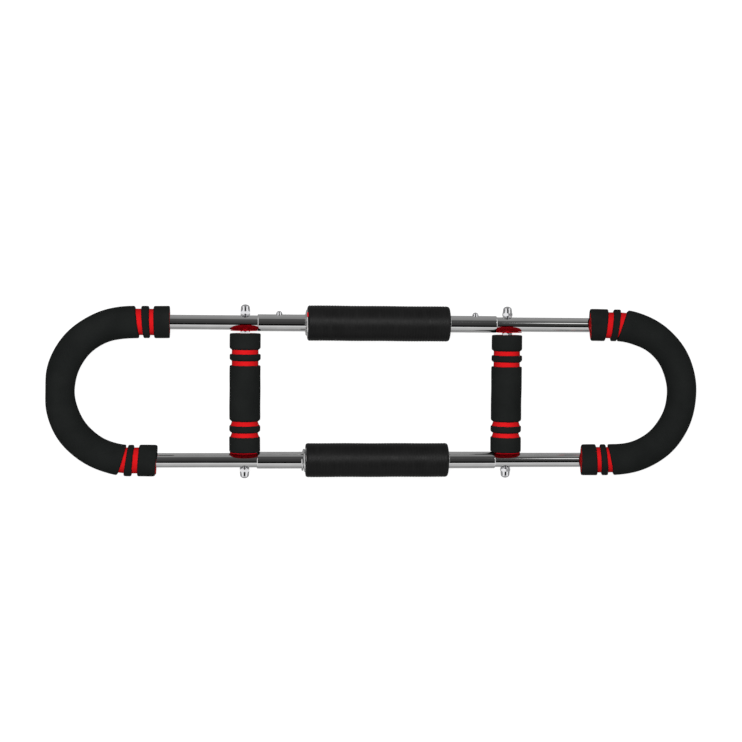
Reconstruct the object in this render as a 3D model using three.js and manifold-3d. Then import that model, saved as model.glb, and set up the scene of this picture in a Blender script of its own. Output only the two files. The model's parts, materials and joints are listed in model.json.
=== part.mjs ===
// A two-spring arm and chest exerciser, lying flat. Two parallel rods each carry a coil spring under a
// black sleeve. A socket tube stands on both ends of each spring, and a U-shaped tube with a foam grip
// plugs into the two sockets of each side. A cross hand grip turns on a threaded stud between the legs.
//
// Millimetres. +X runs along the rods, +Y from the front rod to the back rod, +Z up. The origin is on the
// floor, under the middle of the object. Bending the bar lifts both ends towards +Z.

import * as THREE from "three";
import { mergeVertices } from "three/addons/utils/BufferGeometryUtils.js";
import Module from "manifold-3d";

const wasm = await Module();
wasm.setup();

// ---- Driving dimensions -------------------------------------------------------------------------

const GAP = 0.3; // between pieces that touch
const ROD_SPACING = 192; // between the two rods' centre lines

const TUBE_RADIUS = 10; // U tubes and hand-grip cores
const TUBE_WALL = 1.5;
const SOCKET_RADIUS = 11.5;
const SOCKET_INNER_END = 70; // distances along X from the middle
const SOCKET_MOUTH = 168;
const MOUTH_CHAMFER = { length: 3, depth: 0.4 };
const HUB_RADIUS = 14.6; // the socket's thick part, which the spring's end turns grip
const HUB_END = 92;
const LEG_INNER_END = 118;
const BEND_CENTRE = 343;

const STUD_AT = { left: 185, right: 183.6 }; // the hand grips' cross studs
const STUD_RADIUS = 4; // M8
const NUT_FLATS = 13;
const NUT_HEIGHT = 6.5;
const ACORN_HEIGHT = 13.4;
const ACORN_DOME = { radius: 6.2, height: 4.2 };
const ACORN_THREAD = 9.4; // depth of its blind hole
const WASHER_RADIUS = 6.8;
const WASHER_THICKNESS = 1.2;
const DISC_RADIUS = 20.5; // thin foam, between each leg and its hex nut
const DISC_THICKNESS = 1;

const SLEEVE_RADIUS = 24;
const SLEEVE_WALL = 3.7;
const SLEEVE_ENDS = { back: [-98.5, 100.3], front: [-99.8, 100.2] };
const HINGE_PLACES = [9, 27, 45, 63]; // where the springs bend, on each side of the middle

const SPRING_ENDS = { back: [-100.4, 98.5], front: [-105.5, 98.5] };
const WIRE_RADIUS = 1.5;
const COIL_PITCH = 4;
const COIL_RADIUS = 18.2; // of the wire's centre line
const LAST_COIL_RADIUS = 14.4;
const TAPER_LENGTH = 7;

const BUTTON_AT = 138; // the snap buttons that lock the U tubes
const BUTTON_RADIUS = 4.3;
const BUTTON_PROUD = 5;
const BUTTON_DOME_HEIGHT = 3.8;
const BUTTON_FLANGE = { radius: 5.1, from: 4.7, to: 6 }; // stops it inside the leg
const STRIP = { thickness: 0.8, width: 7 }; // the bent strip spring behind the button
const STRIP_REACH = { bend: -17, upper: 8, lower: 12 }; // along X, from the button
const STRIP_DEPTH = 7.1; // where the strip's lower leg lies, below the tube's centre line

const GRIP_RADIUS = 21.5; // foam, at its raised collars
const GRIP_MAIN_RADIUS = 21; // foam, round the bend
const GROOVE_RADIUS = 18.5;
const COLLAR = 22; // lengths of the collar, the grooves and the ring at each end of a grip
const GROOVE = 6.5;
const RING = 10;
const HAND_GRIP_LENGTH = 165.2;
const GRIP_CORE_BORE = 8.2;
const GRIP_CORE_PLAY = 0.5; // along the stud, between the core tube and the nut
const BUSH_LENGTH = 12;
const U_GRIP_START = { left: { back: 289, front: 307 }, right: { back: 303, front: 293 } };

// Sides of the faceted round shapes
const ROUND = 12;
const SMALL_ROUND = 8;
const WIRE_SIDES = 4;
const COIL_STEPS = 10; // per turn
const BEND_STEPS = 12;
const DOME_STEPS = 4;
const SHORTEST_STEP = 1; // along a U tube's line

// ---- Worked-out dimensions ----------------------------------------------------------------------

const HALF_SPACING = ROD_SPACING / 2;
const AXIS_HEIGHT = SLEEVE_RADIUS; // the sleeves lie on the floor
const ACROSS_FLATS = Math.cos(Math.PI / ROUND); // a facet's distance from the axis, for a corner at 1
const TUBE_BORE = boreRound(TUBE_RADIUS); // sockets and foam grips, round a tube
const STUD_BORE = boreRound(STUD_RADIUS, SMALL_ROUND);
const LEG_INSIDE = HALF_SPACING - TUBE_RADIUS; // the legs' surfaces, across the object
const LEG_OUTSIDE = HALF_SPACING + TUBE_RADIUS;
const DISC_AT = LEG_INSIDE - GAP - DISC_THICKNESS;
const JAM_NUT_AT = DISC_AT - GAP - NUT_HEIGHT;
const GRIP_CORE_END = JAM_NUT_AT - GRIP_CORE_PLAY;
const ACORN_BASE = LEG_OUTSIDE + WASHER_THICKNESS + 2 * GAP;
const SIDES = { left: -1, right: 1 };
const RODS = { back: 1, front: -1 };

// The corner radius of a faceted bore whose facets clear a shaft by the usual gap.
function boreRound(shaftRadius, count = ROUND) {
  return (shaftRadius + GAP) / Math.cos(Math.PI / count);
}

// ---- Finishes -----------------------------------------------------------------------------------

const FINISHES = {
  chrome: { color: 0xc9cacd, roughness: 0.1, metalness: 1 },
  zinc: { color: 0xb4b6b8, roughness: 0.3, metalness: 1 },
  springSteel: { color: 0x9c9d9e, roughness: 0.25, metalness: 1 },
  foam: { color: 0x1d1f1e, roughness: 0.85, metalness: 0 },
  redFoam: { color: 0xcc1a1f, roughness: 0.85, metalness: 0 },
  sleeve: { color: 0x222222, roughness: 0.55, metalness: 0 },
  nylon: { color: 0xdad6c8, roughness: 0.5, metalness: 0 },
};

function named(name, geometry, finish) {
  const mesh = new THREE.Mesh(geometry, new THREE.MeshStandardMaterial(FINISHES[finish]));
  mesh.name = name;
  return mesh;
}

// ---- Solids -------------------------------------------------------------------------------------

function toSolid(geometry) {
  const bare = geometry.clone();
  bare.deleteAttribute("normal");
  bare.deleteAttribute("uv");
  const merged = mergeVertices(bare, 1e-4);
  return new wasm.Manifold(
    new wasm.Mesh({
      numProp: 3,
      vertProperties: merged.attributes.position.array,
      triVerts: new Uint32Array(merged.index.array),
    }),
  );
}

function toGeometry(solid) {
  const { vertProperties, triVerts, numProp } = solid.getMesh();
  const geometry = new THREE.BufferGeometry();
  const places = new THREE.InterleavedBuffer(vertProperties, numProp);
  geometry.setAttribute("position", new THREE.InterleavedBufferAttribute(places, 3, 0));
  geometry.setIndex(new THREE.BufferAttribute(triVerts, 1));
  const plain = geometry.toNonIndexed();
  plain.computeVertexNormals();
  return plain;
}

function joined(geometries) {
  return toGeometry(geometries.map(toSolid).reduce((all, next) => all.add(next)));
}

function cut(geometry, cutters) {
  return toGeometry(cutters.map(toSolid).reduce((left, next) => left.subtract(next), toSolid(geometry)));
}

// ---- Sections and basic shapes ------------------------------------------------------------------

// A regular polygon's corners, with a flat side facing each axis when the count is a multiple of four.
function polygon(radius, count) {
  return Array.from({ length: count }, (_, i) => {
    const angle = ((i + 0.5) / count) * 2 * Math.PI;
    return new THREE.Vector2(radius * Math.cos(angle), radius * Math.sin(angle));
  });
}

function section(radius, boreRadius = 0, count = ROUND) {
  const shape = new THREE.Shape(polygon(radius, count));
  if (boreRadius > 0) shape.holes.push(new THREE.Path(polygon(boreRadius, count)));
  return shape;
}

function extruded(shape, length) {
  return new THREE.ExtrudeGeometry(shape, { depth: length, bevelEnabled: false });
}

// A shape pushed along X, between two places given in either order.
function alongX(shape, oneEnd, otherEnd) {
  const geometry = extruded(shape, Math.abs(otherEnd - oneEnd));
  return geometry.rotateY(Math.PI / 2).translate(Math.min(oneEnd, otherEnd), 0, 0);
}

function alongY(shape, oneEnd, otherEnd) {
  const geometry = extruded(shape, Math.abs(otherEnd - oneEnd));
  return geometry.rotateX(-Math.PI / 2).translate(0, Math.min(oneEnd, otherEnd), 0);
}

// A turned piece: profile points are [radius, place along Y], going up the outside.
function turned(profile, count = ROUND) {
  const points = profile.map(([radius, place]) => new THREE.Vector2(radius, place));
  return new THREE.LatheGeometry(points, count);
}

// The profile of a domed top, from its rim to the axis.
function dome(radius, top, height) {
  const points = Array.from({ length: DOME_STEPS }, (_, i) => {
    const angle = (i / DOME_STEPS) * (Math.PI / 2);
    return [radius * Math.cos(angle), top - height + height * Math.sin(angle)];
  });
  return [...points, [0, top]];
}

// ---- Lines that pieces follow -------------------------------------------------------------------

// A line whose points stand exactly at the given stations, so that a straight stretch needs only two.
class StationLine extends THREE.Curve {
  constructor(pointAt, stations) {
    super();
    this.pointAt = pointAt;
    this.stations = stations;
  }

  getPoint(t) {
    const place = t * (this.stations.length - 1);
    const before = Math.min(Math.floor(place), this.stations.length - 2);
    const [low, high] = this.stations.slice(before, before + 2);
    return this.pointAt(low + (high - low) * (place - before));
  }

  getUtoTmapping(u) {
    return u;
  }
}

function swept(shape, line) {
  const steps = line.stations.length - 1;
  return new THREE.ExtrudeGeometry(shape, { steps, extrudePath: line, bevelEnabled: false });
}

// A U tube's centre line, by distance from the inner end of its back leg.
const LEG_LENGTH = BEND_CENTRE - LEG_INNER_END;
const BEND_LENGTH = Math.PI * HALF_SPACING;
const U_LENGTH = 2 * LEG_LENGTH + BEND_LENGTH;

function pointOnU(side, distance) {
  if (distance < LEG_LENGTH) {
    return new THREE.Vector3(side * (LEG_INNER_END + distance), HALF_SPACING, 0);
  }
  if (distance > LEG_LENGTH + BEND_LENGTH) {
    return new THREE.Vector3(side * (LEG_INNER_END + U_LENGTH - distance), -HALF_SPACING, 0);
  }
  const angle = (distance - LEG_LENGTH) / HALF_SPACING;
  const x = BEND_CENTRE + HALF_SPACING * Math.sin(angle);
  return new THREE.Vector3(side * x, HALF_SPACING * Math.cos(angle), 0);
}

function lineOnU(side, from, to) {
  const bend = Array.from({ length: BEND_STEPS + 1 }, (_, i) => {
    return LEG_LENGTH + (BEND_LENGTH * i) / BEND_STEPS;
  });
  const inside = bend.filter((distance) => {
    return distance > from + SHORTEST_STEP && distance < to - SHORTEST_STEP;
  });
  return new StationLine((distance) => pointOnU(side, distance), [from, ...inside, to]);
}

// A spring wire's centre line, by place along X. The last turns close in on the socket tubes.
function pointOnSpring(x, ends) {
  const toEnd = Math.min(x - ends[0], ends[1] - x);
  const inTaper = Math.max(0, 1 - toEnd / TAPER_LENGTH);
  const radius = COIL_RADIUS + (LAST_COIL_RADIUS - COIL_RADIUS) * inTaper;
  const angle = (x / COIL_PITCH) * 2 * Math.PI;
  return new THREE.Vector3(x, radius * Math.cos(angle), radius * Math.sin(angle));
}

function spring(ends) {
  const [from, to] = ends;
  const steps = Math.round(((to - from) / COIL_PITCH) * COIL_STEPS);
  const stations = Array.from({ length: steps + 1 }, (_, i) => from + ((to - from) * i) / steps);
  const line = new StationLine((x) => pointOnSpring(x, ends), stations);
  return swept(section(WIRE_RADIUS, 0, WIRE_SIDES), line);
}

// ---- Pieces on a rod, in the rod's own frame: its centre line is X ------------------------------

function socketTube(side, hasButton) {
  const shoulder = HUB_END - (HUB_RADIUS - SOCKET_RADIUS);
  const profile = [
    [TUBE_BORE, SOCKET_INNER_END],
    [TUBE_BORE, SOCKET_MOUTH],
    [SOCKET_RADIUS - MOUTH_CHAMFER.depth, SOCKET_MOUTH],
    [SOCKET_RADIUS, SOCKET_MOUTH - MOUTH_CHAMFER.length],
    [SOCKET_RADIUS, HUB_END],
    [HUB_RADIUS, shoulder],
    [HUB_RADIUS, SOCKET_INNER_END],
    [TUBE_BORE, SOCKET_INNER_END],
  ];
  const tube = turned(profile.reverse()).rotateZ((-side * Math.PI) / 2);
  tube.rotateX(Math.PI / ROUND);
  if (!hasButton) return tube;
  return cut(tube, [buttonHole(side)]);
}

function buttonHole(side) {
  const shape = section(boreRound(BUTTON_RADIUS, SMALL_ROUND), 0, SMALL_ROUND);
  return alongY(shape, TUBE_RADIUS / 2, 2 * SOCKET_RADIUS).translate(side * BUTTON_AT, 0, 0);
}

function snapButton() {
  const top = SOCKET_RADIUS + BUTTON_PROUD;
  const { radius, from, to } = BUTTON_FLANGE;
  const flange = [[0, from], [radius, from], [radius, to], [BUTTON_RADIUS, to]];
  return turned([...flange, ...dome(BUTTON_RADIUS, top, BUTTON_DOME_HEIGHT)], SMALL_ROUND);
}

// A bent strip of spring steel: one leg presses the button out, the other lies on the far wall.
function buttonSpring(side) {
  const upper = new THREE.Vector2(BUTTON_AT + STRIP_REACH.upper, BUTTON_FLANGE.from - GAP);
  const lower = new THREE.Vector2(BUTTON_AT + STRIP_REACH.lower, -STRIP_DEPTH);
  const apex = new THREE.Vector2(BUTTON_AT + STRIP_REACH.bend, (upper.y + lower.y) / 2);
  const upperSlope = (upper.y - apex.y) / (upper.x - apex.x);
  const lowerSlope = (apex.y - lower.y) / (lower.x - apex.x);
  const innerApex = new THREE.Vector2(apex.x + (2 * STRIP.thickness) / (upperSlope + lowerSlope), apex.y);
  const outline = [
    apex,
    lower,
    new THREE.Vector2(lower.x, lower.y + STRIP.thickness),
    innerApex,
    new THREE.Vector2(upper.x, upper.y - STRIP.thickness),
    upper,
  ];
  const strip = extruded(new THREE.Shape(outline), STRIP.width).translate(0, 0, -STRIP.width / 2);
  return side > 0 ? strip : strip.rotateX(Math.PI).rotateZ(Math.PI);
}

function sleeveRing(from, to) {
  const outer = SLEEVE_RADIUS / ACROSS_FLATS;
  const bore = (SLEEVE_RADIUS - SLEEVE_WALL) / ACROSS_FLATS;
  return alongX(section(outer, bore), from, to);
}

// The sleeve is cut at every place where the spring bends.
function addSleeve(rod, rodName) {
  const places = [...HINGE_PLACES.map((x) => -x).reverse(), ...HINGE_PLACES];
  const [left, right] = SLEEVE_ENDS[rodName];
  const ends = [left - GAP / 2, ...places, right + GAP / 2];
  for (let i = 0; i + 1 < ends.length; i += 1) {
    const ring = sleeveRing(ends[i] + GAP / 2, ends[i + 1] - GAP / 2);
    rod.add(named(`${rodName}_sleeve_${i + 1}`, ring, "sleeve"));
  }
}

function buildRod(rodName) {
  const rod = new THREE.Group();
  rod.position.set(0, RODS[rodName] * HALF_SPACING, AXIS_HEIGHT);
  const hasButton = rodName === "back";
  addSleeve(rod, rodName);
  rod.add(named(`${rodName}_spring`, spring(SPRING_ENDS[rodName]), "springSteel"));
  for (const [sideName, side] of Object.entries(SIDES)) {
    rod.add(named(`${sideName}_${rodName}_socket`, socketTube(side, hasButton), "chrome"));
    if (!hasButton) continue;
    const button = named(`${sideName}_snap_button`, snapButton(), "zinc");
    button.position.x = side * BUTTON_AT;
    rod.add(button, named(`${sideName}_button_spring`, buttonSpring(side), "springSteel"));
  }
  return rod;
}

// ---- U handles, in a frame at the rods' height --------------------------------------------------

function uTube(sideName) {
  const side = SIDES[sideName];
  const tube = swept(section(TUBE_RADIUS, TUBE_RADIUS - TUBE_WALL), lineOnU(side, 0, U_LENGTH));
  const studHole = alongY(section(STUD_BORE, 0, SMALL_ROUND), -1.5 * HALF_SPACING, 1.5 * HALF_SPACING);
  studHole.translate(side * STUD_AT[sideName], 0, 0);
  return cut(tube, [studHole, buttonHole(side).translate(0, HALF_SPACING, 0)]);
}

// One piece of foam: a thin tube the whole way, with the collars, the rings and the main part on it.
function uGrip(sideName) {
  const side = SIDES[sideName];
  const start = U_GRIP_START[sideName].back - LEG_INNER_END;
  const end = U_LENGTH - (U_GRIP_START[sideName].front - LEG_INNER_END);
  const raisedBore = (GROOVE_RADIUS + TUBE_BORE) / 2;
  const raised = (radius, from, to) => swept(section(radius, raisedBore), lineOnU(side, from, to));
  const toRing = COLLAR + GROOVE;
  const toMain = toRing + RING + GROOVE;
  return joined([
    swept(section(GROOVE_RADIUS, TUBE_BORE), lineOnU(side, start, end)),
    raised(GRIP_RADIUS, start, start + COLLAR),
    raised(GRIP_RADIUS, start + toRing, start + toRing + RING),
    raised(GRIP_MAIN_RADIUS, start + toMain, end - toMain),
    raised(GRIP_RADIUS, end - toRing - RING, end - toRing),
    raised(GRIP_RADIUS, end - COLLAR, end),
  ]);
}

function buildHandle(sideName) {
  const handle = new THREE.Group();
  handle.position.z = AXIS_HEIGHT;
  handle.add(named(`${sideName}_u_tube`, uTube(sideName), "chrome"));
  handle.add(named(`${sideName}_u_grip`, uGrip(sideName), "foam"));
  return handle;
}

// ---- Hand grips, in a frame whose Y axis is the stud --------------------------------------------

function handGrip() {
  const front = -(HALF_SPACING - SOCKET_RADIUS - GAP); // pushed up against the front socket
  const back = front + HAND_GRIP_LENGTH;
  const lengths = [COLLAR, GROOVE, RING, GROOVE];
  const steps = [];
  let place = front;
  lengths.forEach((length, i) => {
    const radius = i % 2 === 0 ? GRIP_RADIUS : GROOVE_RADIUS;
    steps.push([radius, place], [radius, place + length]);
    place += length;
  });
  const middle = (front + back) / 2;
  const otherHalf = steps.map(([radius, y]) => [radius, 2 * middle - y]).reverse();
  const outside = [...steps, [GRIP_RADIUS, place], [GRIP_RADIUS, 2 * middle - place], ...otherHalf];
  return turned([[TUBE_BORE, front], ...outside, [TUBE_BORE, back], [TUBE_BORE, front]]);
}

// A corner of the hexagon faces up.
function hexNut() {
  const shape = new THREE.Shape(polygon(NUT_FLATS / 2 / Math.cos(Math.PI / 6), 6));
  shape.holes.push(new THREE.Path(polygon(STUD_BORE, SMALL_ROUND)));
  return alongY(shape, 0, NUT_HEIGHT);
}

// A domed cap nut, base at the origin and dome towards +Y.
function acornNut() {
  const { radius, height } = ACORN_DOME;
  const base = NUT_HEIGHT / 2; // inside the hexagon
  const inside = [[0, ACORN_THREAD], [STUD_BORE, ACORN_THREAD], [STUD_BORE, base]];
  const outside = [[radius, base], ...dome(radius, ACORN_HEIGHT, height)];
  return joined([hexNut(), turned([...outside, ...inside, outside[0]], SMALL_ROUND)]);
}

// Flat on the side that faces the socket's mouth.
function spacerDisc(sideName) {
  const side = SIDES[sideName];
  const flat = STUD_AT[sideName] - SOCKET_MOUTH - GAP;
  const halfTurn = Math.PI - Math.acos(flat / DISC_RADIUS);
  const outline = Array.from({ length: ROUND + 1 }, (_, i) => {
    const angle = halfTurn * ((2 * i) / ROUND - 1);
    return new THREE.Vector2(side * DISC_RADIUS * Math.cos(angle), DISC_RADIUS * Math.sin(angle));
  });
  const shape = new THREE.Shape(outline);
  shape.holes.push(new THREE.Path(polygon(STUD_BORE, SMALL_ROUND)));
  return alongY(shape, 0, DISC_THICKNESS);
}

function addStudPieces(group, sideName) {
  const studEnd = ACORN_BASE + ACORN_THREAD - 1;
  const stud = alongY(section(STUD_RADIUS, 0, SMALL_ROUND), -studEnd, studEnd);
  group.add(named(`${sideName}_grip_stud`, stud, "zinc"));
  for (const [rodName, rod] of Object.entries(RODS)) {
    const washer = alongY(section(WASHER_RADIUS, STUD_BORE), 0, WASHER_THICKNESS);
    const pieces = [
      ["jam_nut", hexNut(), "zinc", JAM_NUT_AT],
      ["spacer_disc", spacerDisc(sideName), "redFoam", DISC_AT],
      ["washer", washer, "zinc", LEG_OUTSIDE + GAP],
      ["acorn_nut", acornNut(), "zinc", ACORN_BASE],
    ];
    for (const [name, geometry, finish, distance] of pieces) {
      const mesh = named(`${sideName}_${name}_${rodName}`, geometry, finish);
      mesh.position.y = rod * distance;
      if (rod < 0) mesh.rotation.x = Math.PI;
      group.add(mesh);
    }
  }
}

function addTurningPieces(group, sideName) {
  const core = alongY(section(TUBE_RADIUS, GRIP_CORE_BORE), -GRIP_CORE_END, GRIP_CORE_END);
  group.add(named(`${sideName}_grip_core_tube`, core, "chrome"));
  group.add(named(`${sideName}_hand_grip`, handGrip(), "foam"));
  for (const [rodName, rod] of Object.entries(RODS)) {
    const shape = section(GRIP_CORE_BORE * ACROSS_FLATS - GAP, STUD_BORE);
    const bush = alongY(shape, rod * (GRIP_CORE_END - BUSH_LENGTH), rod * GRIP_CORE_END);
    group.add(named(`${sideName}_grip_bush_${rodName}`, bush, "nylon"));
  }
}

function buildHandGrip(sideName) {
  const group = new THREE.Group();
  group.position.set(SIDES[sideName] * STUD_AT[sideName], 0, AXIS_HEIGHT);
  addStudPieces(group, sideName);
  addTurningPieces(group, sideName);
  return group;
}

// ---- The whole object ---------------------------------------------------------------------------

const exerciser = new THREE.Group();
for (const rodName of Object.keys(RODS)) exerciser.add(buildRod(rodName));
for (const sideName of Object.keys(SIDES)) {
  exerciser.add(buildHandle(sideName), buildHandGrip(sideName));
}

export default exerciser;
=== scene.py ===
import json
import math

import bmesh
import bpy
import numpy as np
from mathutils import Matrix, Vector

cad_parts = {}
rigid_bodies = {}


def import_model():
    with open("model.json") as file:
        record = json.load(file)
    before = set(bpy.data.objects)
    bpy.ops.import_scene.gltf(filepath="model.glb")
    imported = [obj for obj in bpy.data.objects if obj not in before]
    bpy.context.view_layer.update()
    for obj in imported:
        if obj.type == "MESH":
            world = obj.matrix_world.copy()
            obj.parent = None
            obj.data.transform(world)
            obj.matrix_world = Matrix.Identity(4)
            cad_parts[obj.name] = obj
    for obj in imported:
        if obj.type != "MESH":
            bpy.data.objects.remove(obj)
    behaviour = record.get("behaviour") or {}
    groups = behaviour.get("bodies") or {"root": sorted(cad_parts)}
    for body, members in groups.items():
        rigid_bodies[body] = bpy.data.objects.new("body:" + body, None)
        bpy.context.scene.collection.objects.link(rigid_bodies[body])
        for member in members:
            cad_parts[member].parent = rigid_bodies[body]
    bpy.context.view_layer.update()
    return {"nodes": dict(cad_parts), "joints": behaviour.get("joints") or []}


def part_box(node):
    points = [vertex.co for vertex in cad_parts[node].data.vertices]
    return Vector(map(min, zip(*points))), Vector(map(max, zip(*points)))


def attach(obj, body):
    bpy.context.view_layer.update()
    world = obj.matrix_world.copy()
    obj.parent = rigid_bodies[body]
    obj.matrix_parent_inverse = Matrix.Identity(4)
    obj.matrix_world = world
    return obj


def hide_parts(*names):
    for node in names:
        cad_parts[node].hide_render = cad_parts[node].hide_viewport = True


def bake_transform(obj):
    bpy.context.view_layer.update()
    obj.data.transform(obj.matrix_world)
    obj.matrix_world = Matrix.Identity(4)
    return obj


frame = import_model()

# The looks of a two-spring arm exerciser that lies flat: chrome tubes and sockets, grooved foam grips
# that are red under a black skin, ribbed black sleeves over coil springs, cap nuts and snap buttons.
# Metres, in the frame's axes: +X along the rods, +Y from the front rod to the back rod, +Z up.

# ---- Places, from the frame ----

X, Y = 0, 1


def middle(node):
    low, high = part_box(node)
    return (low + high) / 2


def span(node, axis):
    """From where to where a node's box reaches along one axis."""
    return [corner[axis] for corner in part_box(node)]


SIDES = {"left": -1, "right": 1}
RODS = {"back": 1, "front": -1}
AXIS_HEIGHT = middle("right_back_socket").z
HALF_SPACING = middle("right_back_socket").y
STUD_AT = {side: abs(middle(f"{side}_grip_stud").x) for side in SIDES}
BUTTON_AT = middle("right_snap_button").x
SOCKET_INNER_END, SOCKET_MOUTH = span("right_back_socket", X)
LEG_INNER_END, U_OUTSIDE = span("right_u_tube", X)
WASHER_FROM, WASHER_TO = span("right_washer_back", Y)
ACORN_FROM, ACORN_TIP = span("right_acorn_nut_back", Y)
JAM_NUT_FROM, JAM_NUT_TO = span("right_jam_nut_back", Y)
DISC_FROM, DISC_TO = span("right_spacer_disc_back", Y)
CORE_TUBE_END = span("right_grip_core_tube", Y)[1]
BUSH_FROM = span("right_grip_bush_back", Y)[0]
STUD_END = span("right_grip_stud", Y)[1]
HAND_GRIP_FRONT, HAND_GRIP_BACK = span("right_hand_grip", Y)
BUTTON_BASE, BUTTON_TIP = span("right_snap_button", Y)
HINGES = sorted(j["pos_m"][0] for j in frame["joints"] if j["name"].startswith("right_bend"))

# ---- Sizes that the frame doesn't hold ----

TUBE_RADIUS = 0.010
TUBE_BORE = 0.0085
TUBE_FACETS = 12  # round the frame's U tube, which lies a little inside the real round one
SOCKET_RADIUS = 0.0117
SOCKET_BORE = 0.0103
HUB_RADIUS = 0.0150
HUB_LENGTH = 0.022
GRIP_RADIUS = 0.0215
GRIP_BORE = 0.0102
GROOVE_RADIUS = 0.0177
HAND_RIM, U_RIM = 0.0060, 0.0027  # how far the black skin reaches in over a grip's end face
DISC_RADIUS = 0.0205
BOSS_RADIUS = 0.0048  # of a disc's middle, which the nut squeezes up against the leg
STUD_RADIUS = 0.004
BUTTON_FLANGE = 0.0008  # how far the button's flange stands out round its pin
NUT_APOTHEM = 0.0065
SLEEVE_RADIUS = {"back": 0.0247, "front": 0.0239}
SLEEVE_WALL = 0.0026
SLEEVE_ROUNDING = 0.003
WIRE_RADIUS = 0.0014
COIL_RADIUS = 0.0182
COIL_PITCH = 0.004
HOLE_CLEARANCE = 0.0003
THREAD_CLEARANCE = 0.0001
CORE_TUBE_BORE = 0.0082
BUTTON_RADIUS = BUTTON_AT - span("right_snap_button", X)[0] - BUTTON_FLANGE

BEND_CENTRE = U_OUTSIDE - HALF_SPACING - TUBE_RADIUS * math.cos(math.pi / TUBE_FACETS)
LEG_LENGTH = BEND_CENTRE - LEG_INNER_END
BEND_LENGTH = math.pi * HALF_SPACING
U_LENGTH = 2 * LEG_LENGTH + BEND_LENGTH

# ---- Lines: each gives a point and the across and up directions at a distance ----

UP = np.array((0.0, 0.0, 1.0))


def rod_line(rod):
    across = np.array((0.0, 1.0, 0.0))
    return lambda d: (np.array((d, RODS[rod] * HALF_SPACING, AXIS_HEIGHT)), across, UP)


def cross_line(x):
    """A line along Y at this place along X."""
    across = np.array((1.0, 0.0, 0.0))
    return lambda d: (np.array((x, d, AXIS_HEIGHT)), across, UP)


def stud_line(side):
    return cross_line(SIDES[side] * STUD_AT[side])


def u_line(side):
    """Round a U tube, by distance from its back leg's inner end. Across points out of the bend."""
    sign = SIDES[side]

    def at(d):
        angle = min(max((d - LEG_LENGTH) / HALF_SPACING, 0.0), math.pi)
        before = min(d, LEG_LENGTH)
        after = max(d - LEG_LENGTH - BEND_LENGTH, 0.0)
        across = np.array((sign * math.sin(angle), math.cos(angle), 0.0))
        centre = np.array((sign * (LEG_INNER_END + before - after), 0.0, AXIS_HEIGHT))
        return centre + HALF_SPACING * across, across, UP

    return at


# ---- Meshes ----

SHARP_DEGREES = 32  # an edge that turns further than this is shaded as sharp
NUT_SHARP_DEGREES = 24
FOAM_SHARP_DEGREES = 50


def in_scene(name, data):
    obj = bpy.data.objects.new(name, data)
    bpy.context.scene.collection.objects.link(obj)
    return obj


def add_object(name, vertices, faces, material, sharp_degrees):
    mesh = bpy.data.meshes.new(name)
    mesh.from_pydata([tuple(v) for v in vertices], [], faces)
    shape = bmesh.new()
    shape.from_mesh(mesh)
    bmesh.ops.remove_doubles(shape, verts=shape.verts, dist=1e-7)
    bmesh.ops.dissolve_degenerate(shape, edges=shape.edges, dist=1e-8)
    bmesh.ops.recalc_face_normals(shape, faces=shape.faces)
    shape.to_mesh(mesh)
    shape.free()
    mesh.polygons.foreach_set("use_smooth", [True] * len(mesh.polygons))
    mesh.set_sharp_from_angle(angle=math.radians(sharp_degrees))
    mesh.materials.append(material)
    return in_scene(name, mesh)


def skin(rings, loop):
    """Vertices and faces between rings of equal size. A loop joins the last ring to the first."""
    count, sides = len(rings), len(rings[0])
    faces = []
    for i in range(count if loop else count - 1):
        a, b = i * sides, ((i + 1) % count) * sides
        for j in range(sides):
            k = (j + 1) % sides
            faces.append((a + j, a + k, b + k, b + j))
    if not loop:
        faces.append(tuple(range(sides)))
        faces.append(tuple((count - 1) * sides + j for j in range(sides)))
    return np.concatenate(rings), faces


def joined(parts):
    vertices, faces, offset = [], [], 0
    for part_vertices, part_faces in parts:
        vertices.append(part_vertices)
        faces.extend(tuple(i + offset for i in face) for face in part_faces)
        offset += len(part_vertices)
    return np.concatenate(vertices), faces


MOST_ROUNDED = 0.85  # of the way to the next corner


def rounded(corners, steps=4):
    """A closed profile from corners of (distance, radius, rounding, tilt), with the last two optional."""
    profile = []
    count = len(corners)
    for i, corner in enumerate(corners):
        distance, radius, rounding, tilt = (*corner, 0, 0)[:4]
        here = np.array((distance, radius))
        if rounding == 0:
            profile.append((distance, radius, tilt))
            continue
        ends = []
        for other in (corners[i - 1], corners[(i + 1) % count]):
            step = np.array(other[:2]) - here
            length = np.linalg.norm(step)
            ends.append(here + step / length * min(rounding, MOST_ROUNDED * length))
        for s in np.linspace(0, 1, steps + 1):
            point = (1 - s) ** 2 * ends[0] + 2 * s * (1 - s) * here + s**2 * ends[1]
            profile.append((point[0], point[1], tilt))
    return profile


def with_steps(profile, longest):
    """The closed profile with points added, so that no step along the line is longer than this."""
    full = []
    for here, following in zip(profile, profile[1:] + profile[:1]):
        steps = max(1, math.ceil(abs(following[0] - here[0]) / longest))
        for i in range(steps):
            full.append(tuple(a + (b - a) * i / steps for a, b in zip(here, following)))
    return full


def turned(line, profile, sides=48, swell=None, slant=None):
    """A closed solid from a closed profile of (distance, radius, tilt) round a line.

    Swell gives a point's radius and slant its shift along the line, both from (distance, angle, radius).
    """
    rings = []
    for distance, radius, tilt in profile:
        ring = []
        for j in range(sides):
            angle = 2 * math.pi * j / sides
            reach = radius if swell is None else swell(distance, angle, radius)
            shift = tilt * reach * math.cos(angle)
            if slant is not None:
                shift += slant(distance, angle, reach)
            place, across, up = line(distance + shift)
            ring.append(place + reach * (math.cos(angle) * across + math.sin(angle) * up))
        rings.append(np.array(ring))
    return skin(rings, loop=True)


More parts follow.
